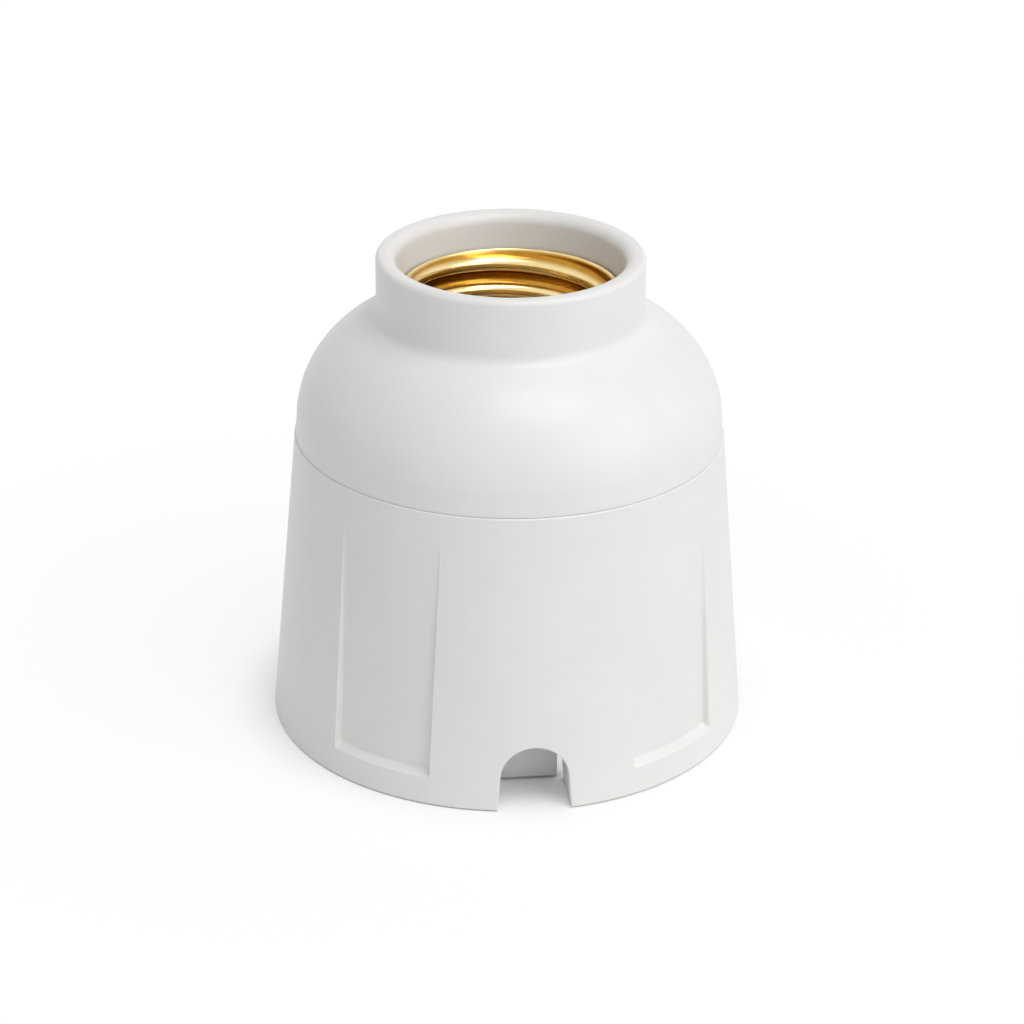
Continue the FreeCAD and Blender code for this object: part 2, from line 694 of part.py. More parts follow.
def terminal_screw(side, slot_degrees):
    seat = STRIP_TOP_Z + WASHER_THICK
    return slotted_screw(
        TERMINAL_SCREW_R,
        TERMINAL_LENGTH,
        TERMINAL_HEAD_R,
        TERMINAL_HEAD_HEIGHT,
        seat,
        0.0,
        side * TERMINAL_Y,
        slot_degrees,
    )


def clamp_washer(side):
    """The square washer that the terminal screw presses on the wire."""
    half, y = WASHER_SIDE / 2, side * TERMINAL_Y
    plate = block(-half, half, y - half, y + half, STRIP_TOP_Z, STRIP_TOP_Z + WASHER_THICK)
    plate = plate.makeFillet(0.8, [e for e in plate.Edges if e.BoundBox.ZLength > 0.5])
    hole_r = TERMINAL_SCREW_R + THREAD_FIT
    return plate.cut(cylinder(hole_r, SEAT_Z, SEAT_Z + 4.0, 0, y))


def terminal_nut(side):
    """The hexagonal nut held in the carrier's pocket under a terminal."""
    y = side * TERMINAL_Y
    low = NUT_TOP_Z - NUT_THICK
    nut = hexagon(NUT_FLATS, low, NUT_TOP_Z, y)
    return nut.cut(cylinder(TERMINAL_SCREW_R + THREAD_FIT, low - 1, NUT_TOP_Z + 1, 0, y))


def rivet(y, strip_z):
    """A tubular rivet through a strip and the carrier, with a head at each end."""
    grip_low = strip_z - STRIP_THICK - RIVET_GRIP
    shank = cylinder(RIVET_R, grip_low - 0.1, strip_z + 0.1, 0, y)
    top = cylinder(RIVET_HEAD_R, strip_z, strip_z + RIVET_HEAD_HEIGHT, 0, y)
    tail = cylinder(RIVET_HEAD_R + 0.2, grip_low - RIVET_HEAD_HEIGHT, grip_low, 0, y)
    bore = cylinder(0.45, grip_low - 1.0, grip_low + 2.5, 0, y)
    return top.multiFuse([shank, tail]).cut(bore).removeSplitter()


def carrier_screws():
    """The two screws that hold the carrier to the posts of the base."""
    seat = ISLAND_Z - COUNTERBORE_DEPTH
    screws = []
    for side in (-1, 1):
        screws.append(
            slotted_screw(
                CARRIER_SCREW_R,
                CARRIER_SCREW_LENGTH - 1.0,
                CARRIER_HEAD_R,
                CARRIER_HEAD_HEIGHT,
                seat,
                side * POST_X,
                0.0,
                35.0 * side,
            )
        )
    return Part.makeCompound(screws)


def all_nodes():
    return {
        "base": base(),
        "cover": cover(),
        "screw_shell": screw_shell(),
        "contact_carrier": contact_carrier(),
        "centre_contact": centre_contact(),
        "centre_button": centre_button(),
        "side_contact": side_contact(),
        "live_terminal_screw": terminal_screw(-1, 20.0),
        "neutral_terminal_screw": terminal_screw(1, -50.0),
        "live_clamp_washer": clamp_washer(-1),
        "neutral_clamp_washer": clamp_washer(1),
        "live_terminal_nut": terminal_nut(-1),
        "neutral_terminal_nut": terminal_nut(1),
        "centre_contact_rivet": rivet(CENTRE_RIVET_Y, ISLAND_Z + STRIP_THICK),
        "side_contact_rivet": rivet(SIDE_RIVET_Y, STRIP_TOP_Z),
        "carrier_screws": carrier_screws(),
    }


def build():
    os.makedirs("parts", exist_ok=True)
    for name, shape in all_nodes().items():
        shape.exportStep("parts/" + name + ".step")
        print(name, shape.isValid(), len(shape.Solids), round(shape.Volume, 1), len(shape.Faces))


if __name__ == "__main__":
    build()
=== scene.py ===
# %% [markdown]
# # A surface-mounted lamp holder
# The holder is a white moulded base and a domed cover that screws on to it. A brass shell in the
# cover's neck takes the lamp, and a ceramic carrier below it holds the live contacts.
# The solid parts come ready made, at their real size. This lesson gives them their finishes, adds
# or replaces the pieces whose fine form matters to the look, and sets a plain studio round them.
# It could all be modelled by hand in Edit Mode. Code is used instead, because each size is then a
# named value that can be read and changed. Every length is in metres.

import math

import bmesh
import bpy
import numpy as np
from mathutils import Matrix


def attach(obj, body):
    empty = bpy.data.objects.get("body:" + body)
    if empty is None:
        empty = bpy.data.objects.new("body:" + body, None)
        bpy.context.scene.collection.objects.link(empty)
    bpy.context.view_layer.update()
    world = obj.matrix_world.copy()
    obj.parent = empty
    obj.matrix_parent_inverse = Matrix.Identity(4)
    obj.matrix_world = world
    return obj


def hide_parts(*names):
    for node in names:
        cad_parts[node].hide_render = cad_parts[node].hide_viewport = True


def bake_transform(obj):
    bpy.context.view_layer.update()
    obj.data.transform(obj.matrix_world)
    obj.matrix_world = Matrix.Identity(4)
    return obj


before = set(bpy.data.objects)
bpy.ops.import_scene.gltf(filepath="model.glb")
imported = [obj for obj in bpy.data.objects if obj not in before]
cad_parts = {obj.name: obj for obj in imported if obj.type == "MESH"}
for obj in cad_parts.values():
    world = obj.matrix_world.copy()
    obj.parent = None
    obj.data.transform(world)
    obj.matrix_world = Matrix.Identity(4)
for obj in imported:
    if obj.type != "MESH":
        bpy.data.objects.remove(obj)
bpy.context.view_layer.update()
MM = 0.001
print("solid parts:", sorted(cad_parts))

# %% [markdown]
# ## Arithmetic on shader sockets
# A finish is a small sum: noise, scaled, and added to a roughness or used to mix two colours. It
# could be wired by hand in the Shader Editor. As a list of Math nodes in code it is long and hard to
# read, so one small class wraps a socket and lets Python's own operators add the nodes. Everything
# that isn't plain arithmetic comes from its one method, `node`.


# %% A shader value that Python arithmetic works on
class Shade:
    """Wraps a socket of a material's node tree: each operator adds the Math node that does it."""

    def __init__(self, tree, socket=None):
        self.tree = tree
        self.socket = socket

    def node(self, kind, settings=None, inputs=None, output=0):
        """Add a node: its settings first, then the values or links of its sockets."""
        made = self.tree.nodes.new(kind)
        for name, value in (settings or {}).items():
            setattr(made, name, value)
        for name, value in (inputs or {}).items():
            if isinstance(value, Shade):
                self.tree.links.new(value.socket, made.inputs[name])
            else:
                made.inputs[name].default_value = value
        return Shade(self.tree, made.outputs[output] if made.outputs else None)

    def math(self, operation, a, b=0.0):
        return self.node("ShaderNodeMath", {"operation": operation}, {0: a, 1: b})

    def __add__(self, other):
        return self.math("ADD", self, other)

    def __radd__(self, other):
        return self.math("ADD", other, self)

    def __sub__(self, other):
        return self.math("SUBTRACT", self, other)

    def __rsub__(self, other):
        return self.math("SUBTRACT", other, self)

    def __mul__(self, other):
        return self.math("MULTIPLY", self, other)

    def __rmul__(self, other):
        return self.math("MULTIPLY", other, self)

    def __pow__(self, other):
        return self.math("POWER", self, other)

    def __rpow__(self, other):
        return self.math("POWER", other, self)


# %% Start a finish: a material with its shader and the object's own coordinates
def start_finish(name, **plain):
    """A new material. Values that are the same all over go straight on the shader's sockets."""
    material = bpy.data.materials.new(name)
    material.use_nodes = True
    tree = material.node_tree
    shader = tree.nodes["Principled BSDF"]
    for socket, value in plain.items():
        shader.inputs[socket.replace("_", " ")].default_value = value
    place = Shade(tree).node("ShaderNodeTexCoord", output="Object")
    return material, shader, place


def feed(shader, socket, value):
    """Link a shade into a socket of the shader."""
    value.tree.links.new(value.socket, shader.inputs[socket])


def noise(place, scale, detail, roughness):
    """Cloudy noise between 0 and 1, with scale blobs a metre."""
    values = {"Vector": place, "Scale": scale, "Detail": detail, "Roughness": roughness}
    return place.node("ShaderNodeTexNoise", None, values)


def between(shade, low, high, to_low=0.0, to_high=1.0):
    """Spread the part of a shade from low to high over another range, and clip it there."""
    values = {0: shade, 1: low, 2: high, 3: to_low, 4: to_high}
    return shade.node("ShaderNodeMapRange", {"clamp": True}, values)


def mix_colour(mask, colour_a, colour_b):
    """Colour a where the mask is 0, colour b where it is 1."""
    as_colour = [c if isinstance(c, Shade) else (*c, 1.0) for c in (colour_a, colour_b)]
    values = {0: mask, 6: as_colour[0], 7: as_colour[1]}
    return mask.node("ShaderNodeMix", {"data_type": "RGBA"}, values, output=2)


def relief(height, distance):
    """A Bump node that reads a height between 0 and 1 as a rise of so many metres."""
    return height.node("ShaderNodeBump", None, {"Height": height, "Distance": distance})


def mapped(place, **values):
    """The coordinates through a Mapping node: moved by Location or stretched by Scale."""
    return place.node("ShaderNodeMapping", None, {"Vector": place, **values})


def split(place):
    """The x, y and z of a place, each as a shade of its own."""
    return [place.node("ShaderNodeSeparateXYZ", None, {0: place}, output=i) for i in range(3)]


# %% [markdown]
# ## The white moulding
# The base and the cover are pressed from a hard white plastic. Its skin is smooth, but not a mirror:
# the tool's polish leaves a very shallow ripple about a millimetre long, and a finer grain that only
# softens the edge of a highlight. The colour is a warm white that shifts by a hair over a
# centimetre, and light sinks in a little way. A painted map could hold all that, but would need the
# parts unwrapped. Noise on the object's own coordinates needs no map and stays put as it turns.


# %% Finish: moulded white plastic
WHITE_LOW = (0.862, 0.850, 0.832)
WHITE_HIGH = (0.886, 0.876, 0.860)


def white_moulding(name, seed):
    """Satin white. The seed moves the noise, so that base and cover don't share their clouds."""
    finish, shader, place = start_finish(
        name,
        IOR=1.5,
        Coat_Weight=0.12,
        Coat_Roughness=0.15,
        Subsurface_Weight=0.2,
        Subsurface_Radius=(1.0, 0.95, 0.9),
        Subsurface_Scale=0.0012,
    )
    shifted = mapped(place, Location=(seed, 2 * seed, 0.0))
    cloud = noise(shifted, scale=90.0, detail=3.0, roughness=0.55)
    ripple = noise(shifted, scale=700.0, detail=2.0, roughness=0.5)
    grain = noise(shifted, scale=6500.0, detail=3.0, roughness=0.6)
    feed(shader, "Base Color", mix_colour(between(cloud, 0.3, 0.7), WHITE_LOW, WHITE_HIGH))
    feed(shader, "Roughness", 0.40 + (cloud - 0.5) * 0.10 + (grain - 0.5) * 0.10)
    feed(shader, "Normal", relief(ripple * 0.75 + grain * 0.25, 0.012 * MM))
    return finish


white_base = white_moulding("white_base", 0.3)
white_cover = white_moulding("white_cover", 0.7)
print("white finishes:", white_base.name, white_cover.name)

# %% [markdown]
# ## Brass and bronze
# The shell is thin brass sheet, rolled to its thread. The crests and the lip keep the plain, bright
# brass colour. The roots are painted darker and browner: painted shade, for the shade that lies in
# them inside the shell. The painted shade could be put in by hand, turn by turn. The distance from
# the lamp axis tells crests and roots apart, though, so a mask made from it does the same all the
# way round. Fine lines that run round the axis are marks of the drawing: noise that is read at the
# radius and the height alone, so that it never changes round the axis.

# %% Finish: rolled brass, bright on the crests and the lip, with painted shade in the roots
BRIGHT_BRASS = ((0.92, 0.75, 0.40), (0.88, 0.69, 0.31))
# The second pair is painted shade: the darker, browner colour put in the thread's roots.
ROOT_SHADE_BRASS = ((0.55, 0.28, 0.04), (0.44, 0.20, 0.02))
ROOT_FROM, ROOT_FULL = 12.4 * MM, 13.0 * MM
LIP_FROM, LIP_FULL = 58.0 * MM, 58.3 * MM


def rolled_brass():
    """The root mask is 0 up to one radius and 1 from the next, and fades out again at the lip.
    It paints shade into the thread's roots: their darker colour is painted shade.
    """
    finish, shader, place = start_finish("rolled_brass", Metallic=1.0)
    x, y, z = split(place)
    radius = (x * x + y * y) ** 0.5
    root = between(radius, ROOT_FROM, ROOT_FULL) * between(z, LIP_FROM, LIP_FULL, 1.0, 0.0)
    ring_place = place.node("ShaderNodeCombineXYZ", None, {0: radius * 0.3, 2: z})
    drawn = noise(ring_place, scale=9000.0, detail=2.0, roughness=0.6)
    patch = noise(place, scale=260.0, detail=4.0, roughness=0.6)
    bright = mix_colour(between(patch, 0.35, 0.7), *BRIGHT_BRASS)
    # The roots take a darker colour as painted shade.
    root_shade_colour = mix_colour(between(patch, 0.35, 0.65), *ROOT_SHADE_BRASS)
    feed(shader, "Base Color", mix_colour(root, bright, root_shade_colour))
    feed(shader, "Roughness", 0.15 + root * 0.05 + (patch - 0.5) * 0.08)
    feed(shader, "Normal", relief(drawn, 0.004 * MM))
    return finish


shell_finish = rolled_brass()
print("finish:", shell_finish.name)


# %% Finishes: stamped, turned and plated metal
def stamped_metal(name, light, dark, rough):
    """Metal from a strip or a bar, with a faint cloud of handling. Its fine scratches are noise
    that is squeezed fourteen times along y, so they run along x."""
    finish, shader, place = start_finish(name, Metallic=1.0)
    cloud = noise(place, scale=900.0, detail=4.0, roughness=0.6)
    squeezed = mapped(place, Scale=(1.0, 14.0, 1.0))
    scratch = noise(squeezed, scale=3000.0, detail=2.0, roughness=0.7)
    feed(shader, "Base Color", mix_colour(between(cloud, 0.35, 0.68), light, dark))
    feed(shader, "Roughness", rough + (cloud - 0.5) * 0.16 + (scratch - 0.5) * 0.12)
    feed(shader, "Normal", relief(scratch, 0.004 * MM))
    return finish


spring_bronze = stamped_metal("spring_bronze", (0.78, 0.50, 0.28), (0.62, 0.36, 0.19), 0.30)
turned_brass = stamped_metal("turned_brass", (0.86, 0.64, 0.30), (0.74, 0.51, 0.22), 0.25)
zinc_plate = stamped_metal("zinc_plate", (0.66, 0.66, 0.64), (0.52, 0.53, 0.52), 0.32)
print("metals:", spring_bronze.name, turned_brass.name, zinc_plate.name)

# %% [markdown]
# ## Ceramic
# The carrier is pressed from a pale powder and fired without a glaze, so it is matt and gritty, with
# darker specks where the powder held some iron. Specks could be small dots set one by one. Here they
# are the peaks of one fine noise: only what lies above a threshold is coloured.


# %% Finish: pressed, unglazed ceramic
def pressed_ceramic():
    """Pale and matt, with a bump of grit and a mask of specks."""
    finish, shader, place = start_finish("pressed_ceramic", IOR=1.55)
    grit = noise(place, scale=5200.0, detail=4.0, roughness=0.65)
    cloud = noise(place, scale=240.0, detail=3.0, roughness=0.5)
    speck = between(noise(place, scale=2600.0, detail=1.0, roughness=0.4), 0.66, 0.72)
    body = mix_colour(between(cloud, 0.3, 0.7), (0.70, 0.665, 0.59), (0.76, 0.73, 0.66))
    feed(shader, "Base Color", mix_colour(speck * 0.6, body, (0.45, 0.40, 0.33)))
    feed(shader, "Roughness", 0.62 + (grit - 0.5) * 0.3)
    feed(shader, "Normal", relief(grit, 0.03 * MM))
    return finish


carrier_ceramic = pressed_ceramic()
print("finish:", carrier_ceramic.name)

# %% [markdown]
# ## Dressing the solid parts
# Each solid part keeps its own mesh and only takes a material. That could be done part by part in
# the Material tab. A table of names says it all in one place.

# %% Give each solid part its finish
finishes = {
    "base": white_base,
    "cover": white_cover,
    "contact_carrier": carrier_ceramic,
    "centre_contact": spring_bronze,
    "side_contact": spring_bronze,
    "centre_button": turned_brass,
    "live_terminal_nut": turned_brass,
    "neutral_terminal_nut": turned_brass,
    "centre_contact_rivet": turned_brass,
    "side_contact_rivet": turned_brass,
    "live_terminal_screw": zinc_plate,
    "neutral_terminal_screw": zinc_plate,
    "live_clamp_washer": zinc_plate,
    "neutral_clamp_washer": zinc_plate,
    "carrier_screws": zinc_plate,
}


def dress(part, finish):
    """Put one finish on all of a part's material slots."""
    slots = part.data.materials
    if not slots:
        slots.append(finish)
    for i in range(len(slots)):
        slots[i] = finish


for node, finish in finishes.items():
    dress(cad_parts[node], finish)
print("finished parts:", len(finishes))

# %% [markdown]
# ## Surfaces from arrays
# The pieces below are grids: a function of two numbers, worked out for every point of a grid at once.
# Blender's own modifiers could draw some of them, but a formula gives the exact form, and says it.
# One helper turns such a grid into a mesh. It closes a direction that comes back to its start, and
# it makes the faces smooth, so that a few thousand of them look like one rounded surface.


# %% A grid of points made into faces
def grid_faces(rows, columns, wrap_rows, wrap_columns):
    """The four corners of each face of a grid, as whole arrays of point numbers. The faces look
    outwards where the rows run down the outside and the columns run anticlockwise from above."""
    i = np.arange(rows if wrap_rows else rows - 1)[:, None]
    j = np.arange(columns if wrap_columns else columns - 1)[None, :]
    next_i, next_j = (i + 1) % rows, (j + 1) % columns
    corners = [i * columns + j, next_i * columns + j, next_i * columns + next_j, i * columns + next_j]
    return np.stack(corners, axis=-1).reshape(-1, 4)


def add_piece(name, parts, finish, body=None):
    """A piece from one or more (points, faces) pairs, dressed, and riding on a body if one is named.
    Points that fall together, as at a pole, are merged, so that every part is a closed surface."""
    mesh = bpy.data.meshes.new(name)
    points = np.concatenate([p.reshape(-1, 3) for p, _ in parts])
    starts = np.cumsum([0] + [p.size // 3 for p, _ in parts[:-1]])
    faces = np.concatenate([f + start for (_, f), start in zip(parts, starts)])
    mesh.from_pydata(points.tolist(), [], faces.tolist())
    joined = bmesh.new()
    joined.from_mesh(mesh)
    bmesh.ops.remove_doubles(joined, verts=joined.verts, dist=1e-7)
    joined.to_mesh(mesh)
    joined.free()
    mesh.shade_smooth()
    piece = bpy.data.objects.new(name, mesh)
    bpy.context.collection.objects.link(piece)
    dress(piece, finish)
    if body:
        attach(piece, body)
    print(name, "points:", len(points), "faces:", len(faces))
    return piece


def smooth_step(low, high, value):
    """0 below low, 1 above high, and an S-curve 3t^2 - 2t^3 between them."""
    t = np.clip((value - low) / (high - low), 0.0, 1.0)
    return t * t * (3.0 - 2.0 * t)


# %% [markdown]
# ## The screw shell
# The shell of a lamp holder is a cup of thin brass, rolled between two dies so that a round thread
# runs up its wall. A lathe's screw modifier could draw it, but would end each turn with a step. Here
# the wall is one function instead: the radius depends on the height less the rise of the thread at
# that angle. The standard's profile is two arcs that meet smoothly, one for the crest and one for
# the root. Near the top the thread fades into a plain lip, and near the foot into a plain bore.

# %% The thread's profile
THREAD_PITCH = 3.629 * MM
CREST_R = 12.2 * MM
THREAD_DEPTH = 1.1 * MM
ARC_R = 1.025 * MM
THREAD_START = 39.18 * MM  # height of a root at angle 0


def thread_depth(height, angle):
    """Depth below the crests. With s the distance up from the nearest crest, an arc of radius R
    gives R - sqrt(R^2 - s^2) as far as a quarter of the pitch, and its mirror image beyond."""
    turns = (height - THREAD_START) / THREAD_PITCH - angle / (2.0 * np.pi)
    from_root = np.abs((turns + 0.5) % 1.0 - 0.5) * THREAD_PITCH
    s = THREAD_PITCH / 2.0 - from_root
    quarter = THREAD_PITCH / 4.0
    near = np.minimum(s, quarter)
    far = np.minimum(THREAD_PITCH / 2.0 - s, quarter)
    by_crest = ARC_R - np.sqrt(ARC_R**2 - near**2)
    by_root = THREAD_DEPTH - (ARC_R - np.sqrt(ARC_R**2 - far**2))
    return np.where(s < quarter, by_crest, by_root)


root_depth, crest_depth = thread_depth(THREAD_START + np.array([0.0, THREAD_PITCH / 2.0]), 0.0)
print("depth at a root and at a crest, mm:", root_depth / MM, crest_depth / MM)

# %% The shell's sizes and its inner radius
SHEET = 0.35 * MM
SHELL_FOOT = 37.65 * MM
SHELL_TOP = 58.35 * MM
FLANGE_R = 15.9 * MM
LIP_R = 13.8 * MM
BEND = 0.25 * MM
FADE_FROM, FADE_FULL = 38.3 * MM, 40.3 * MM
FLARE_FROM, FLARE_FULL = 57.85 * MM, 58.28 * MM
UP_ROWS, DOWN_ROWS = 150, 130


def shell_inside(height, angle):
    """Inner radius: the crest radius plus the thread's depth, faded out at the foot, and carried
    over into the lip's own radius at the top."""
    fade = smooth_step(FADE_FROM, FADE_FULL, height)
    wall = CREST_R + thread_depth(height, angle) * fade
    lip = smooth_step(FLARE_FROM, FLARE_FULL, height)
    return wall * (1.0 - lip) + (LIP_R - SHEET) * lip


# %% The shell's wall, lip and flange as one closed loop turned round the axis
def shell_wall(columns=264):
    """Each column is the shell's section at one angle: up the inside, over a rounded lip, down the
    outside, and round the flange's edge. The wall is the inner radius plus the sheet."""
    angle = np.linspace(0.0, 2.0 * np.pi, columns, endpoint=False)[None, :]
    up = np.linspace(SHELL_FOOT + BEND, SHELL_TOP - SHEET / 2.0, UP_ROWS)[:, None]
    turn = np.linspace(0.0, np.pi, 8)[1:-1, None]
    down = np.linspace(SHELL_TOP - SHEET / 2.0, SHELL_FOOT + SHEET + BEND, DOWN_ROWS)[:, None]
    inner_r, outer_r = shell_inside(up, angle), shell_inside(down, angle) + SHEET
    lip_r = LIP_R - SHEET / 2.0 - np.cos(turn) * SHEET / 2.0 + 0.0 * angle
    lip_z = SHELL_TOP - SHEET / 2.0 + np.sin(turn) * SHEET / 2.0
    bend = np.linspace(0.0, np.pi / 2.0, 5)[1:, None]
    inside_bend_r = CREST_R + SHEET + BEND * (1.0 - np.cos(bend)) + 0.0 * angle
    inside_bend_z = SHELL_FOOT + SHEET + BEND * (1.0 - np.sin(bend))
    edge = np.linspace(np.pi / 2.0, -np.pi / 2.0, 7)[:, None]
    edge_r = FLANGE_R - SHEET / 2.0 + np.cos(edge) * SHEET / 2.0 + 0.0 * angle
    edge_z = SHELL_FOOT + SHEET / 2.0 + np.sin(edge) * SHEET / 2.0
    foot_r = CREST_R + BEND * (1.0 - np.cos(bend[::-1])) + 0.0 * angle
    foot_z = SHELL_FOOT + BEND * (1.0 - np.sin(bend[::-1]))
    radius = np.concatenate([inner_r, lip_r, outer_r, inside_bend_r, edge_r, foot_r])
    heights = [up, lip_z, down, inside_bend_z, edge_z, foot_z]
    height = np.concatenate(heights) + 0.0 * angle
    points = np.stack([radius * np.cos(angle), radius * np.sin(angle), height], axis=-1)
    return points, grid_faces(points.shape[0], columns, True, True)


# %% The two tabs that key the shell to the ceramic, and the shell itself
TAB_R = 13.1 * MM
TAB_HALF = 3.0 * MM
TAB_LEVELS = np.array([37.85, 37.85, 37.8, 34.0, 31.0, 30.62, 30.5, 30.5]) * MM
TAB_SHARES = np.array([0.0, 1.0, 1.0, 1.0, 1.0, 0.985, 0.94, 0.0])


def squared(wave):
    """A sine or cosine pushed out towards 1 and -1: sign(w) * |w|^(1/4) turns a circle's two
    coordinates into those of a rectangle with rounded corners."""
    return np.abs(wave) ** 0.25 * np.sign(wave)


def drive_tab(side, columns=32):
    """A rounded rectangle at each level, with a share of its full size that falls to 0 at both
    ends and so closes them: x = middle + share * squared(cos) * sheet / 2, and y likewise."""
    angle = np.linspace(0.0, 2.0 * np.pi, columns, endpoint=False)[None, :]
    share = TAB_SHARES[:, None]
    x = side * (TAB_R + SHEET / 2.0) + share * squared(np.cos(angle)) * SHEET / 2.0
    y = share * squared(np.sin(angle)) * TAB_HALF
    z = TAB_LEVELS[:, None] + 0.0 * x
    return np.stack([x, y, z], axis=-1), grid_faces(TAB_LEVELS.size, columns, False, True)


rolled_shell = add_piece(
    "rolled_screw_shell",
    [shell_wall(), drive_tab(-1), drive_tab(1)],
    shell_finish,
    "screw_shell",
)
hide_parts("screw_shell")

# %% [markdown]
# ## The thread between the base and the cover
# The cover screws on to a collar that stands up from the base. Both threads are low round ridges at
# a pitch of 3 mm, and each runs in the other's groove. A Screw modifier on a small profile could
# draw them, but its ends would be cut off square. One function draws both instead: a bump of cosine
# shape, carried round a helix, that runs out into the wall at its ends. Where the cover turns it
# also rises, by the same pitch, so the two ridges slide along each other and never meet.

# %% A helical ridge on a cylinder, standing outwards or inwards
COVER_PITCH = 3.0 * MM
COLLAR_R = 24.3 * MM
COVER_BORE_R = 24.6 * MM
RIDGE_HEIGHT = 0.22 * MM
RIDGE_HALF = 0.75 * MM
RIDGE_ROOT = 0.04 * MM  # how far its back lies inside the wall
BACK_EDGES = [[0.9, -0.9]]  # the back is a little narrower than the front
RUN_OUT = 0.08  # share of the length at each end
STEPS_A_TURN = 96


def closed_ends(points):
    """The rows of a bar, with a row that is only its middle point before the first and after the
    last. That closes the bar's two ends."""
    centre = np.repeat(points.mean(axis=1, keepdims=True), points.shape[1], axis=1)
    return np.concatenate([centre[:1], points, centre[-1:]])


def helix_ridge(wall_r, start_z, turns, way):
    """With v from -1 to 1 across the ridge, r = wall +- height * (1 + cos(pi v)) / 2, and the centre
    rises by one pitch a turn. The way is 1 for outwards and -1 for inwards."""
    along = np.linspace(0.0, 1.0, int(turns * STEPS_A_TURN))[:, None]
    angle = along * turns * 2.0 * np.pi
    run_out = smooth_step(0.0, RUN_OUT, along) * smooth_step(0.0, RUN_OUT, 1.0 - along)
    across = np.linspace(-1.0, 1.0, 13)[None, :]
    front = (1.0 + np.cos(np.pi * across)) / 2.0 * RIDGE_HEIGHT * run_out
    back = -RIDGE_ROOT * np.ones((along.size, 2))
    height = np.concatenate([front, back], axis=1)
    across = np.concatenate([across, BACK_EDGES], axis=1)
    radius = wall_r + way * height
    z = start_z + angle / (2.0 * np.pi) * COVER_PITCH + across * RIDGE_HALF
    points = closed_ends(np.stack([radius * np.cos(angle), radius * np.sin(angle), z], axis=-1))
    faces = grid_faces(points.shape[0], points.shape[1], False, True)
    return points, faces[:, ::-1] if way < 0 else faces


# %% The collar's thread and the cover's
add_piece(
    "collar_thread",
    [helix_ridge(COLLAR_R, start_z=37.6 * MM, turns=2.1, way=1)],
    white_base,
    "base",
)
add_piece(
    "cover_thread",
    [helix_ridge(COVER_BORE_R, start_z=40.2 * MM, turns=1.3, way=-1)],
    white_cover,
    "cover",
)

# %% [markdown]
# ## The centre contact
# A strip of spring bronze runs from the live terminal, up over the ceramic and out to the lamp axis,
# where it carries the button that the lamp's tip presses down. A flat mesh with a Bevel and a
# Solidify modifier could make it. Here it is one path with a flat section: the path's corners are
# arcs, because sheet metal can't fold to a sharp edge, and the strip narrows to a tongue with a
# round end.


# %% A path with rounded corners
def rounded_path(corners, radius, steps=7):
    """Straight runs joined by arcs. At a corner that turns by angle a, the arc leaves each run
    radius * tan(a / 2) before the corner, and its points are spread evenly over the turn."""
    path = [corners[0]]
    for before, corner, after in zip(corners[:-2], corners[1:-1], corners[2:]):
        into, out = corner - before, after - corner
        into, out = into / np.linalg.norm(into), out / np.linalg.norm(out)
        turn = math.acos(float(np.clip(into @ out, -1.0, 1.0)))
        which_way = math.copysign(1.0, into[0] * out[1] - into[1] * out[0])
        left = np.array([-into[1], into[0]]) * which_way
        centre = corner - into * radius * math.tan(turn / 2.0) + left * radius
        swing = np.linspace(0.0, turn, steps)[:, None]
        path.extend(centre + radius * (np.sin(swing) * into - np.cos(swing) * left))
    path.append(corners[-1])
    return np.array(path)


def divided(path, step):
    """The same path with points along its runs too, at most a step apart."""
    along = np.concatenate([[0.0], np.cumsum(np.linalg.norm(np.diff(path, axis=0), axis=1))])
    extra = np.arange(step, along[-1], step)
    places = np.unique(np.concatenate([along, extra]).round(7))
    return np.stack([np.interp(places, along, path[:, i]) for i in (0, 1)], axis=1)


# %% A strip of sheet along a path
STRIP_THICK = 0.5 * MM
STRIP_HALF = 3.5 * MM
TONGUE_HALF = 2.5 * MM
TONGUE_MIDDLE = 0.1 * MM
NARROW_FROM, NARROW_FULL = -6.4 * MM, -4.2 * MM


def sheet_strip(path, half_width, thickness, edge=0.12 * MM):
    """A flat bar carried along a path: its section is a rectangle with the four corners cut, and
    point = path + across * half width + normal * lift. The ends close on their middle."""
    tangent = np.gradient(path, axis=0)
    tangent /= np.linalg.norm(tangent, axis=1, keepdims=True)
    normal = np.stack([-tangent[:, 1], tangent[:, 0]], axis=1)
    half = thickness / 2.0
    side = np.array([1, 1, 1, -1, -1, -1, -1, 1])
    cut = np.array([0.0, 0.0, edge, edge, 0.0, 0.0, edge, edge])
    lift = np.array([edge - half, half - edge, half, half, half - edge, edge - half, -half, -half])
    x = side * np.maximum(half_width[:, None] - cut, 0.0)
    y = path[:, :1] + normal[:, :1] * lift
    z = path[:, 1:] + normal[:, 1:] * lift
    points = closed_ends(np.stack([x, y, z], axis=-1))
    return points, grid_faces(points.shape[0], side.size, False, True)


def tongue_width(y):
    """Half the width: wide as far as the rivet, an S-curve to the tongue, then a round end, where
    half width = sqrt(r^2 - (y - middle)^2) about the button."""
    plain = STRIP_HALF + (TONGUE_HALF - STRIP_HALF) * smooth_step(NARROW_FROM, NARROW_FULL, y)
    past_middle = np.maximum(y - TONGUE_MIDDLE, 0.0)
    round_end = np.sqrt(np.maximum(TONGUE_HALF**2 - past_middle**2, 0.0))
    return np.minimum(plain, np.where(y > TONGUE_MIDDLE, round_end, plain))


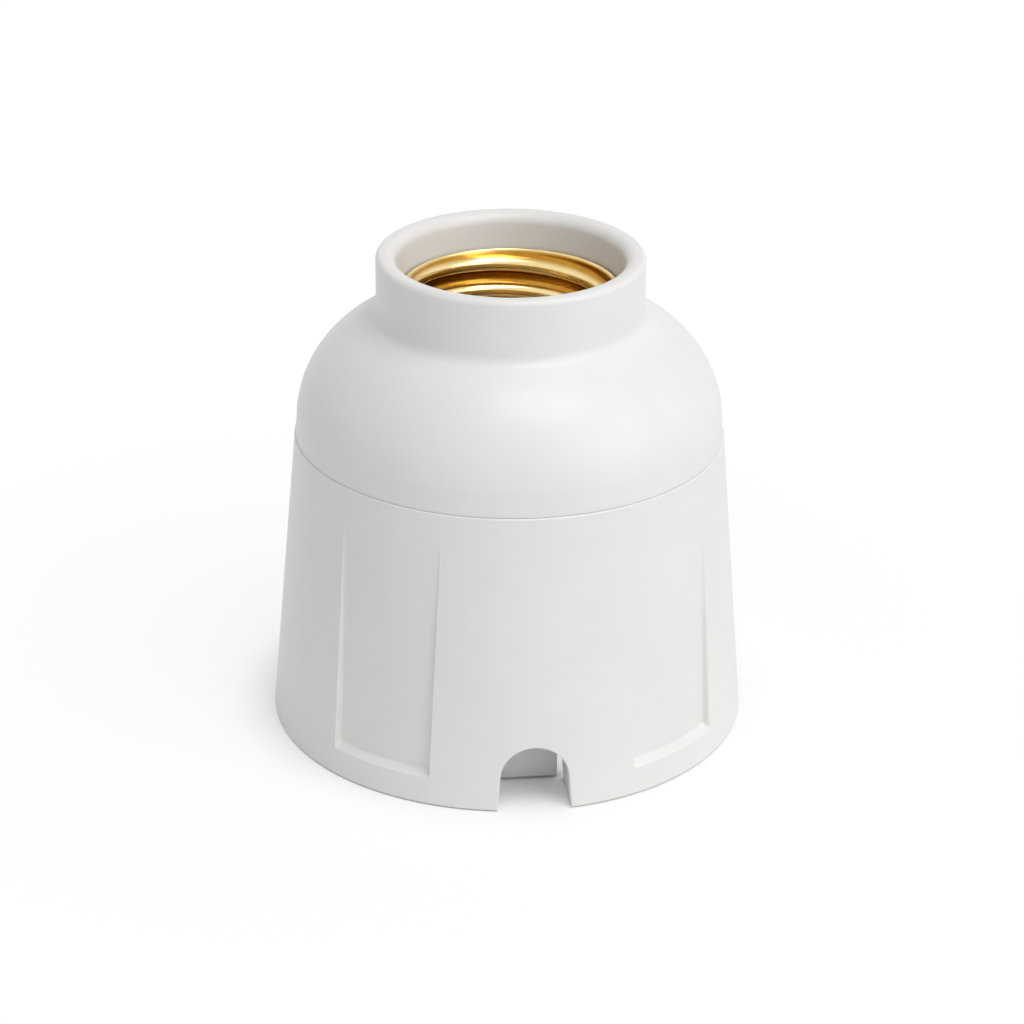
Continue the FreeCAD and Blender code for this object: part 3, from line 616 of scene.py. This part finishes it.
# %% Holes through a piece
def drilled(piece, holes):
    """Each hole is a (y, z, radius). A Boolean modifier takes a drill away from the piece, and is
    applied at once, because a blend needs the mesh as it ends up. Edges over 35 degrees stay sharp."""
    for y, z, radius in holes:
        drill = bmesh.new()
        size = {"segments": 40, "radius1": radius, "radius2": radius, "depth": 2.0 * MM}
        place = Matrix.Translation((0.0, y, z))
        bmesh.ops.create_cone(drill, cap_ends=True, matrix=place, **size)
        shape = bpy.data.meshes.new("drill")
        drill.to_mesh(shape)
        drill.free()
        holder = bpy.data.objects.new("drill", shape)
        bpy.context.collection.objects.link(holder)
        cut = piece.modifiers.new("hole", "BOOLEAN")
        cut.operation, cut.object = "DIFFERENCE", holder
        evaluated = piece.evaluated_get(bpy.context.evaluated_depsgraph_get())
        solid = bpy.data.meshes.new_from_object(evaluated)
        piece.modifiers.clear()
        piece.data = solid
        bpy.data.objects.remove(holder)
    piece.data.set_sharp_from_angle(angle=math.radians(35.0))
    print(piece.name, "holes:", len(holes), "faces:", len(piece.data.polygons))


# %% The contact strip: its middle line in y and z, from the terminal to the button
SEAT, ISLAND, UNDER_BUTTON = 28.25, 34.25, 35.45
TERMINAL_HOLE = (-17.0 * MM, SEAT * MM, 2.0 * MM)
RIVET_HOLE = (-7.8 * MM, ISLAND * MM, 1.0 * MM)
lower = [[-20.2, SEAT], [-10.55, SEAT], [-10.55, ISLAND], [-6.05, ISLAND]]
tongue = [[-2.45, UNDER_BUTTON], [2.6, UNDER_BUTTON]]
route = divided(rounded_path(np.array(lower + tongue) * MM, 0.6 * MM), 0.3 * MM)
contact_strip = add_piece(
    "contact_strip",
    [sheet_strip(route, tongue_width(route[:, 0]), STRIP_THICK)],
    spring_bronze,
)
drilled(contact_strip, [TERMINAL_HOLE, RIVET_HOLE])
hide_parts("centre_contact")
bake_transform(contact_strip)

# %% [markdown]
# ## The studio
# The holder stands on a plain white table that runs off into a white background. Stronger lamps
# could turn the table white, but would burn out the holder too. So the floor is part paint and part
# glow, and only the camera, mirrors and glass see the glow. The paint shows the holder's soft shadow.
# It has its largest share at the holder's foot, where the floor sees little of the sky, and none
# further off, so that the table ends in the background without an edge.

# %% Rays that should see plain white
NEUTRAL = (1.0, 1.0, 1.0, 1.0)


def white_rays(start):
    """1 for a ray from the camera, a mirror or glass, and 0 for one that only carries light."""
    rays = ("Is Camera Ray", "Is Glossy Ray", "Is Transmission Ray")
    seen, glint, through = [start.node("ShaderNodeLightPath", output=ray) for ray in rays]
    return seen + glint + through


# %% The floor
FLOOR_PAINT = (0.97, 0.97, 0.97, 1.0)
FLOOR_GLOW = 1.04
FLOOR_HALF = 6.0
NEAR_SHARE, FAR_SHARE = 0.78, 0.22
FADE_NEAR, FADE_FAR = 0.05, 0.17


def floor_finish():
    """Glow's share = near * open sky + far * distance, both between 0 and 1, for white rays."""
    finish = bpy.data.materials.new("studio_white")
    finish.use_nodes = True
    tree = finish.node_tree
    tree.nodes.clear()
    start = Shade(tree)
    paint = start.node("ShaderNodeBsdfDiffuse", None, {"Color": FLOOR_PAINT})
    glow = start.node("ShaderNodeEmission", None, {"Color": NEUTRAL, "Strength": FLOOR_GLOW})
    occlusion = {"Distance": 10.0 * MM}
    open_sky = start.node("ShaderNodeAmbientOcclusion", {"samples": 8}, occlusion, output="AO")
    place = start.node("ShaderNodeTexCoord", output="Object")
    reach = place.node("ShaderNodeVectorMath", {"operation": "LENGTH"}, {0: place}, output="Value")
    near = between(open_sky, 0.2, 0.9) * NEAR_SHARE
    far = between(reach, FADE_NEAR, FADE_FAR) * FAR_SHARE
    share = white_rays(start) * (near + far)
    shown = start.node("ShaderNodeMixShader", None, {0: share, 1: paint, 2: glow})
    start.node("ShaderNodeOutputMaterial", None, {"Surface": shown})
    return finish


def flat_sheet(name, half, z):
    """A square sheet: four corners and one face."""
    corners = np.array([[-half, -half, z], [half, -half, z], [half, half, z], [-half, half, z]])
    mesh = bpy.data.meshes.new(name)
    mesh.from_pydata(corners.tolist(), [], [(0, 1, 2, 3)])
    sheet = bpy.data.objects.new(name, mesh)
    bpy.context.collection.objects.link(sheet)
    return sheet


floor = flat_sheet("floor", FLOOR_HALF, -0.1 * MM)
dress(floor, floor_finish())
print("floor half size:", FLOOR_HALF)

# %% [markdown]
# ## The light
# A product stands in a bright, even room: a pale sky all round, a large soft box to the right in
# front, and another overhead. A panorama of a real room could do it all at once. A plain world and
# two square lamps are enough here, and each can be moved by itself. The lamps give the wide, soft
# highlight on the dome, and the sky lifts the shaded side.

# %% The world: plain white for those rays, and dimmer as a light
SKY_LIGHT = 0.41
world = bpy.data.worlds.new("studio")
bpy.context.scene.world = world
world.use_nodes = True
tree = world.node_tree
tree.nodes.clear()
start = Shade(tree)
strength = SKY_LIGHT + white_rays(start) * (1.0 - SKY_LIGHT)
sky = start.node("ShaderNodeBackground", None, {"Color": NEUTRAL, "Strength": strength})
start.node("ShaderNodeOutputWorld", None, {"Surface": sky})
print("sky as a light:", SKY_LIGHT)


# %% The lamps
def soft_box(name, place, aim, size, power):
    """A square area lamp at a place, turned to face a point: tilted from straight down by the angle
    between its way to the point and the vertical, then turned round z to the point's side."""
    lamp = bpy.data.lights.new(name, "AREA")
    lamp.size = size
    lamp.energy = power
    holder = bpy.data.objects.new(name, lamp)
    bpy.context.collection.objects.link(holder)
    holder.location = place
    away = np.array(place) - np.array(aim)
    azimuth = math.atan2(away[0], -away[1])
    tilt = math.atan2(math.hypot(away[0], away[1]), away[2])
    holder.rotation_euler = (tilt, 0.0, azimuth)
    print(name, "lamp:", power, "W from", place)


middle = (0.0, 0.0, 0.03)
soft_box("key", (0.50, -0.46, 0.36), middle, size=0.60, power=1.45)
soft_box("top", (0.16, -0.22, 0.76), middle, size=0.50, power=2.35)

# %% [markdown]
# ## The camera
# A long lens looks down on the holder from a little to the left of the cable notch. A Track To
# constraint could aim it, but couldn't roll it. So its three axes are worked out from the downward
# pitch, a slight roll, and the turn round the lamp axis, and go straight into its matrix.

# %% The camera
PITCH = math.radians(25.203)
ROLL = math.radians(0.55)
TURN = math.radians(-6.8)
SENSOR_MM = 36.0
FOCAL_SHARE = 3100.0 / 1024.0  # focal length over the sensor's width
eye = np.array([0.439, -365.757, 198.974]) * MM
right = np.array([1.0, 0.0, 0.0])
up = np.array([0.0, math.sin(PITCH), math.cos(PITCH)])
back = np.array([0.0, -math.cos(PITCH), math.sin(PITCH)])
rolled_right = math.cos(ROLL) * right + math.sin(ROLL) * up
rolled_up = math.cos(ROLL) * up - math.sin(ROLL) * right
cos_turn, sin_turn = math.cos(TURN), math.sin(TURN)
spin = np.array([[cos_turn, -sin_turn, 0.0], [sin_turn, cos_turn, 0.0], [0.0, 0.0, 1.0]])
stand = np.eye(4)
stand[:3, :3] = spin @ np.column_stack([rolled_right, rolled_up, back])
stand[:3, 3] = spin @ eye
lens = bpy.data.cameras.new("camera")
lens.sensor_width = SENSOR_MM
lens.lens = SENSOR_MM * FOCAL_SHARE
lens.clip_start = 0.01
camera = bpy.data.objects.new("camera", lens)
bpy.context.collection.objects.link(camera)
camera.matrix_world = Matrix(stand.tolist())
bpy.context.scene.camera = camera
print("camera at", stand[:3, 3].round(4), "lens mm:", round(lens.lens, 2))

# %% [markdown]
# ## The view
# The Standard view shows a colour as it is written, so the white stays the white of the plastic.

# %% The view
bpy.context.scene.view_settings.view_transform = "Standard"
